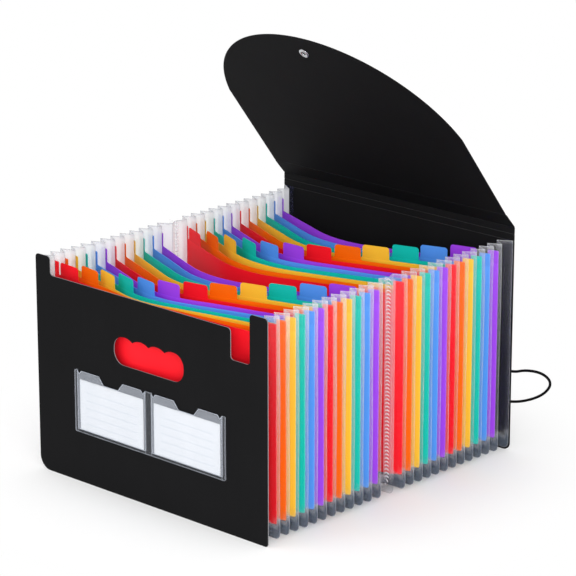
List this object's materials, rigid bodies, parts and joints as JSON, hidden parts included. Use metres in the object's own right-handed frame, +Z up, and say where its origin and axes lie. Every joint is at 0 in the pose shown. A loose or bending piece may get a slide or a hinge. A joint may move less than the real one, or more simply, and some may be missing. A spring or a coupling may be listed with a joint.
{
  "type": "accordion file folder",
  "caption": "Upright expanding file: black covers joined by clear pleated film with coloured tabbed dividers, a fold-over flap and an elastic closing loop.",
  "frame": {"origin": "on the floor, midway between the two covers and midway across their width", "axes": "+X to the right seen from the front, +Y from the front cover to the back cover, +Z up"},
  "size_m": [0.3805, 0.3864, 0.4537],
  "materials": {
    "black_sheet": "satin, fine grain",
    "clear_film": "frosted clear film",
    "white_card": "plain card",
    "bright_metal": "nickel plated",
    "black_button": "moulded",
    "black_elastic": "braided cover",
    "sheet_red": "translucent coloured sheet",
    "sheet_orange": "translucent coloured sheet",
    "sheet_yellow": "translucent coloured sheet",
    "sheet_teal": "translucent coloured sheet",
    "sheet_blue": "translucent coloured sheet",
    "sheet_purple": "translucent coloured sheet"
  },
  "bodies": {
    "back": {"back_cover": "black_sheet", "rear_flange": "clear_film", "rear_bellows": "clear_film", "elastic_eyelet": "bright_metal", "elastic_stop": "black_button", "elastic_loop": "black_elastic"},
    "front": {"front_cover": "black_sheet", "label_holder": "clear_film", "front_flange": "clear_film", "front_bellows": "clear_film"},
    "seam": {"centre_seam": "clear_film"},
    "spine_low": {"spine_lower": "black_sheet"},
    "spine_mid": {"spine_middle": "black_sheet"},
    "spine_high": {"spine_upper": "black_sheet"},
    "flap": {"flap": "black_sheet", "flap_rivet": "bright_metal", "flap_button": "black_button"},
    "card_left": {"label_card_left": "white_card"},
    "card_right": {"label_card_right": "white_card"},
    "sheet_01": {"divider_01": "sheet_red"},
    "sheet_02": {"divider_02": "sheet_orange"},
    "sheet_03": {"divider_03": "sheet_yellow"},
    "sheet_04": {"divider_04": "sheet_teal"},
    "sheet_05": {"divider_05": "sheet_blue"},
    "sheet_06": {"divider_06": "sheet_purple"},
    "sheet_07": {"divider_07": "sheet_red"},
    "sheet_08": {"divider_08": "sheet_orange"},
    "sheet_09": {"divider_09": "sheet_yellow"},
    "sheet_10": {"divider_10": "sheet_teal"},
    "sheet_11": {"divider_11": "sheet_blue"},
    "sheet_12": {"divider_12": "sheet_purple"},
    "sheet_13": {"divider_13": "sheet_red"},
    "sheet_14": {"divider_14": "sheet_orange"},
    "sheet_15": {"divider_15": "sheet_yellow"},
    "sheet_16": {"divider_16": "sheet_teal"},
    "sheet_17": {"divider_17": "sheet_blue"},
    "sheet_18": {"divider_18": "sheet_purple"},
    "sheet_19": {"divider_19": "sheet_red"},
    "sheet_20": {"divider_20": "sheet_orange"},
    "sheet_21": {"divider_21": "sheet_yellow"},
    "sheet_22": {"divider_22": "sheet_teal"},
    "sheet_23": {"divider_23": "sheet_blue"},
    "sheet_24": {"divider_24": "sheet_purple"}
  },
  "joints": [
    {"name": "front_slide", "type": "slide", "parent": "back", "child": "front", "axis": [0, 1, 0], "range_m": [0, 0.3374], "deforming": ["front_bellows", "rear_bellows"]},
    {"name": "seam_slide", "type": "slide", "parent": "back", "child": "seam", "axis": [0, 1, 0], "range_m": [0, 0.1692]},
    {"name": "sheet_01_slide", "type": "slide", "parent": "back", "child": "sheet_01", "axis": [0, 1, 0], "range_m": [0, 0.32302], "deforming": ["divider_01"]},
    {"name": "sheet_02_slide", "type": "slide", "parent": "back", "child": "sheet_02", "axis": [0, 1, 0], "range_m": [0, 0.31071], "deforming": ["divider_02"]},
    {"name": "sheet_03_slide", "type": "slide", "parent": "back", "child": "sheet_03", "axis": [0, 1, 0], "range_m": [0, 0.29839], "deforming": ["divider_03"]},
    {"name": "sheet_04_slide", "type": "slide", "parent": "back", "child": "sheet_04", "axis": [0, 1, 0], "range_m": [0, 0.28608], "deforming": ["divider_04"]},
    {"name": "sheet_05_slide", "type": "slide", "parent": "back", "child": "sheet_05", "axis": [0, 1, 0], "range_m": [0, 0.27377], "deforming": ["divider_05"]},
    {"name": "sheet_06_slide", "type": "slide", "parent": "back", "child": "sheet_06", "axis": [0, 1, 0], "range_m": [0, 0.26145], "deforming": ["divider_06"]},
    {"name": "sheet_07_slide", "type": "slide", "parent": "back", "child": "sheet_07", "axis": [0, 1, 0], "range_m": [0, 0.24914], "deforming": ["divider_07"]},
    {"name": "sheet_08_slide", "type": "slide", "parent": "back", "child": "sheet_08", "axis": [0, 1, 0], "range_m": [0, 0.23683], "deforming": ["divider_08"]},
    {"name": "sheet_09_slide", "type": "slide", "parent": "back", "child": "sheet_09", "axis": [0, 1, 0], "range_m": [0, 0.22451], "deforming": ["divider_09"]},
    {"name": "sheet_10_slide", "type": "slide", "parent": "back", "child": "sheet_10", "axis": [0, 1, 0], "range_m": [0, 0.2122], "deforming": ["divider_10"]},
    {"name": "sheet_11_slide", "type": "slide", "parent": "back", "child": "sheet_11", "axis": [0, 1, 0], "range_m": [0, 0.19989], "deforming": ["divider_11"]},
    {"name": "sheet_12_slide", "type": "slide", "parent": "back", "child": "sheet_12", "axis": [0, 1, 0], "range_m": [0, 0.18757], "deforming": ["divider_12"]},
    {"name": "sheet_13_slide", "type": "slide", "parent": "back", "child": "sheet_13", "axis": [0, 1, 0], "range_m": [0, 0.15342], "deforming": ["divider_13"]},
    {"name": "sheet_14_slide", "type": "slide", "parent": "back", "child": "sheet_14", "axis": [0, 1, 0], "range_m": [0, 0.14111], "deforming": ["divider_14"]},
    {"name": "sheet_15_slide", "type": "slide", "parent": "back", "child": "sheet_15", "axis": [0, 1, 0], "range_m": [0, 0.12879], "deforming": ["divider_15"]},
    {"name": "sheet_16_slide", "type": "slide", "parent": "back", "child": "sheet_16", "axis": [0, 1, 0], "range_m": [0, 0.11648], "deforming": ["divider_16"]},
    {"name": "sheet_17_slide", "type": "slide", "parent": "back", "child": "sheet_17", "axis": [0, 1, 0], "range_m": [0, 0.10417], "deforming": ["divider_17"]},
    {"name": "sheet_18_slide", "type": "slide", "parent": "back", "child": "sheet_18", "axis": [0, 1, 0], "range_m": [0, 0.09185], "deforming": ["divider_18"]},
    {"name": "sheet_19_slide", "type": "slide", "parent": "back", "child": "sheet_19", "axis": [0, 1, 0], "range_m": [0, 0.07954], "deforming": ["divider_19"]},
    {"name": "sheet_20_slide", "type": "slide", "parent": "back", "child": "sheet_20", "axis": [0, 1, 0], "range_m": [0, 0.06723], "deforming": ["divider_20"]},
    {"name": "sheet_21_slide", "type": "slide", "parent": "back", "child": "sheet_21", "axis": [0, 1, 0], "range_m": [0, 0.05491], "deforming": ["divider_21"]},
    {"name": "sheet_22_slide", "type": "slide", "parent": "back", "child": "sheet_22", "axis": [0, 1, 0], "range_m": [0, 0.0426], "deforming": ["divider_22"]},
    {"name": "sheet_23_slide", "type": "slide", "parent": "back", "child": "sheet_23", "axis": [0, 1, 0], "range_m": [0, 0.03029], "deforming": ["divider_23"]},
    {"name": "sheet_24_slide", "type": "slide", "parent": "back", "child": "sheet_24", "axis": [0, 1, 0], "range_m": [0, 0.01798], "deforming": ["divider_24"]},
    {"name": "crease_low", "type": "hinge", "parent": "back", "child": "spine_low", "pos_m": [0, 0.1882, 0.2335], "axis": [1, 0, 0], "range_deg": [-35, 12]},
    {"name": "crease_mid", "type": "hinge", "parent": "spine_low", "child": "spine_mid", "pos_m": [0, 0.1882, 0.2411], "axis": [1, 0, 0], "range_deg": [-35, 12]},
    {"name": "crease_high", "type": "hinge", "parent": "spine_mid", "child": "spine_high", "pos_m": [0, 0.1882, 0.2487], "axis": [1, 0, 0], "range_deg": [-62, 14]},
    {"name": "flap_hinge", "type": "hinge", "parent": "spine_high", "child": "flap", "pos_m": [0, 0.17348, 0.26505], "axis": [1, 0, 0], "range_deg": [-20, 14]},
    {"name": "card_left_slide", "type": "slide", "parent": "front", "child": "card_left", "axis": [0, 0, 1], "range_m": [0, 0.066]},
    {"name": "card_right_slide", "type": "slide", "parent": "front", "child": "card_right", "axis": [0, 0, 1], "range_m": [0, 0.066]}
  ],
  "couplings": [
    {"joint": "seam_slide", "follows": "front_slide", "ratio": 0.5},
    {"joint": "sheet_01_slide", "follows": "front_slide", "ratio": 0.9559},
    {"joint": "sheet_02_slide", "follows": "front_slide", "ratio": 0.9194},
    {"joint": "sheet_03_slide", "follows": "front_slide", "ratio": 0.88291},
    {"joint": "sheet_04_slide", "follows": "front_slide", "ratio": 0.84641},
    {"joint": "sheet_05_slide", "follows": "front_slide", "ratio": 0.80992},
    {"joint": "sheet_06_slide", "follows": "front_slide", "ratio": 0.77342},
    {"joint": "sheet_07_slide", "follows": "front_slide", "ratio": 0.73693},
    {"joint": "sheet_08_slide", "follows": "front_slide", "ratio": 0.70044},
    {"joint": "sheet_09_slide", "follows": "front_slide", "ratio": 0.66394},
    {"joint": "sheet_10_slide", "follows": "front_slide", "ratio": 0.62745},
    {"joint": "sheet_11_slide", "follows": "front_slide", "ratio": 0.59095},
    {"joint": "sheet_12_slide", "follows": "front_slide", "ratio": 0.55446},
    {"joint": "sheet_13_slide", "follows": "front_slide", "ratio": 0.45323},
    {"joint": "sheet_14_slide", "follows": "front_slide", "ratio": 0.41674},
    {"joint": "sheet_15_slide", "follows": "front_slide", "ratio": 0.38024},
    {"joint": "sheet_16_slide", "follows": "front_slide", "ratio": 0.34375},
    {"joint": "sheet_17_slide", "follows": "front_slide", "ratio": 0.30726},
    {"joint": "sheet_18_slide", "follows": "front_slide", "ratio": 0.27076},
    {"joint": "sheet_19_slide", "follows": "front_slide", "ratio": 0.23427},
    {"joint": "sheet_20_slide", "follows": "front_slide", "ratio": 0.19777},
    {"joint": "sheet_21_slide", "follows": "front_slide", "ratio": 0.16128},
    {"joint": "sheet_22_slide", "follows": "front_slide", "ratio": 0.12478},
    {"joint": "sheet_23_slide", "follows": "front_slide", "ratio": 0.088288},
    {"joint": "sheet_24_slide", "follows": "front_slide", "ratio": 0.051794}
  ]
}
